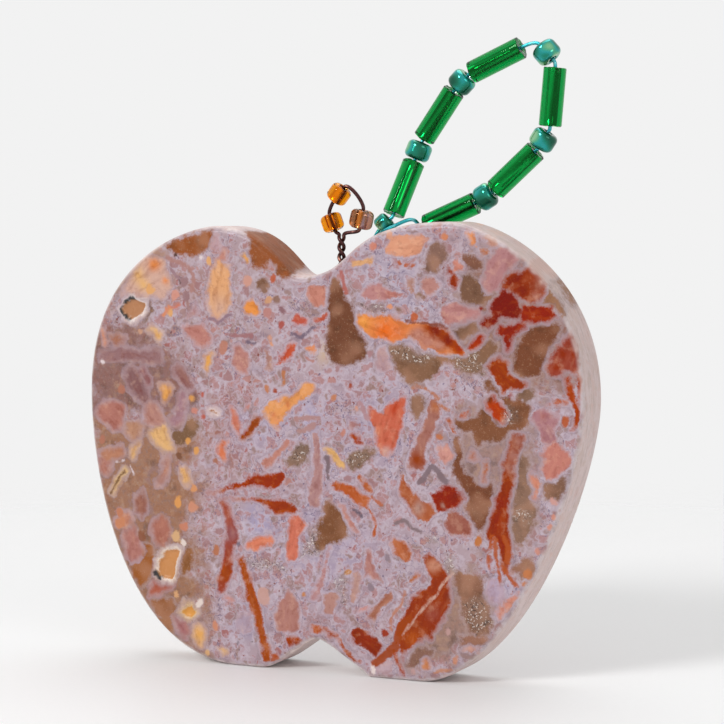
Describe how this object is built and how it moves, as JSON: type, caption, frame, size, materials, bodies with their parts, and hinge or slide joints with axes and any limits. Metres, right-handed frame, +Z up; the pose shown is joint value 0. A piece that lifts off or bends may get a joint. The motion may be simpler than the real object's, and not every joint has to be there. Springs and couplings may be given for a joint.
{
  "type": "gemstone apple carving",
  "caption": "Flat polished agate apple standing on its lower lobes, with a twisted wire stem of amber beads and a leaf-shaped wire loop of green bugle beads and teal seed beads.",
  "frame": {"origin": "bottom centre of the box around the whole object, on the surface that the two lower lobes stand on", "axes": "+X to the right along the slab's face, +Y away from the polished front towards the leaf's side, +Z up"},
  "size_m": [0.0596, 0.0104, 0.0697],
  "materials": {
    "agate": "polished",
    "epoxy": "gloss",
    "brown_wire": "gloss",
    "teal_wire": "gloss",
    "amber_glass": "polished",
    "amber_luster_glass": "polished",
    "emerald_glass": "polished",
    "teal_luster_glass": "polished"
  },
  "bodies": {
    "apple": {"stone_apple": "agate", "glue_plug": "epoxy", "stem_wire": "brown_wire", "leaf_wire": "teal_wire"},
    "stem_bead_left_body": {"stem_bead_left": "amber_glass"},
    "stem_bead_top_body": {"stem_bead_top": "amber_glass"},
    "stem_bead_right_body": {"stem_bead_right": "amber_luster_glass"},
    "leaf_root_seed_body": {"leaf_root_seed": "teal_luster_glass"},
    "leaf_bugle_1_body": {"leaf_bugle_1": "emerald_glass"},
    "leaf_seed_1_body": {"leaf_seed_1": "teal_luster_glass"},
    "leaf_bugle_2_body": {"leaf_bugle_2": "emerald_glass"},
    "leaf_seed_2_body": {"leaf_seed_2": "teal_luster_glass"},
    "leaf_bugle_3_body": {"leaf_bugle_3": "emerald_glass"},
    "leaf_seed_3_body": {"leaf_seed_3": "teal_luster_glass"},
    "leaf_bugle_4_body": {"leaf_bugle_4": "emerald_glass"},
    "leaf_seed_4_body": {"leaf_seed_4": "teal_luster_glass"},
    "leaf_bugle_5_body": {"leaf_bugle_5": "emerald_glass"},
    "leaf_seed_5_body": {"leaf_seed_5": "teal_luster_glass"},
    "leaf_bugle_6_body": {"leaf_bugle_6": "emerald_glass"}
  },
  "joints": [
    {"name": "stem_bead_left_spin", "type": "hinge", "parent": "apple", "child": "stem_bead_left_body", "pos_m": [-0.0002, -0.00267, 0.04965], "axis": [-0.3584, 0, 0.9336], "continuous": true},
    {"name": "stem_bead_top_spin", "type": "hinge", "parent": "apple", "child": "stem_bead_top_body", "pos_m": [0.0006, -0.00267, 0.05275], "axis": [0.6293, 0, 0.7771], "continuous": true},
    {"name": "stem_bead_right_spin", "type": "hinge", "parent": "apple", "child": "stem_bead_right_body", "pos_m": [0.0033, -0.00267, 0.05], "axis": [-0.2079, 0, -0.9781], "continuous": true},
    {"name": "leaf_root_seed_spin", "type": "hinge", "parent": "apple", "child": "leaf_root_seed_body", "pos_m": [0.0045, 0.001, 0.04943], "axis": [0.6795, 0.2079, 0.7036], "continuous": true},
    {"name": "leaf_bugle_1_spin", "type": "hinge", "parent": "apple", "child": "leaf_bugle_1_body", "pos_m": [0.00613, 0.00244, 0.05342], "axis": [0.2432, 0.342, 0.9077], "continuous": true},
    {"name": "leaf_seed_1_spin", "type": "hinge", "parent": "apple", "child": "leaf_seed_1_body", "pos_m": [0.00735, 0.00377, 0.05757], "axis": [0.3378, 0.1564, 0.9281], "continuous": true},
    {"name": "leaf_bugle_2_spin", "type": "hinge", "parent": "apple", "child": "leaf_bugle_2_body", "pos_m": [0.00978, 0.00379, 0.0615], "axis": [0.587, -0.0523, 0.8079], "continuous": true},
    {"name": "leaf_seed_2_spin", "type": "hinge", "parent": "apple", "child": "leaf_seed_2_body", "pos_m": [0.01256, 0.00362, 0.06501], "axis": [0.7071, 0, 0.7071], "continuous": true},
    {"name": "leaf_bugle_3_spin", "type": "hinge", "parent": "apple", "child": "leaf_bugle_3_body", "pos_m": [0.01659, 0.00362, 0.0673], "axis": [0.9135, 0, 0.4067], "continuous": true},
    {"name": "leaf_seed_3_spin", "type": "hinge", "parent": "apple", "child": "leaf_seed_3_body", "pos_m": [0.02238, 0.00362, 0.06798], "axis": [0.6691, 0, -0.7431], "continuous": true},
    {"name": "leaf_bugle_4_spin", "type": "hinge", "parent": "apple", "child": "leaf_bugle_4_body", "pos_m": [0.02307, 0.00362, 0.06317], "axis": [-0.0872, 0, -0.9962], "continuous": true},
    {"name": "leaf_seed_4_spin", "type": "hinge", "parent": "apple", "child": "leaf_seed_4_body", "pos_m": [0.02202, 0.00362, 0.05857], "axis": [-0.5592, 0, -0.829], "continuous": true},
    {"name": "leaf_bugle_5_spin", "type": "hinge", "parent": "apple", "child": "leaf_bugle_5_body", "pos_m": [0.01885, 0.00362, 0.05532], "axis": [-0.7431, 0, -0.6691], "continuous": true},
    {"name": "leaf_seed_5_spin", "type": "hinge", "parent": "apple", "child": "leaf_seed_5_body", "pos_m": [0.01537, 0.00362, 0.05247], "axis": [-0.848, 0, -0.5299], "continuous": true},
    {"name": "leaf_bugle_6_spin", "type": "hinge", "parent": "apple", "child": "leaf_bugle_6_body", "pos_m": [0.01133, 0.00362, 0.05055], "axis": [-0.9205, 0, -0.3907], "continuous": true}
  ]
}
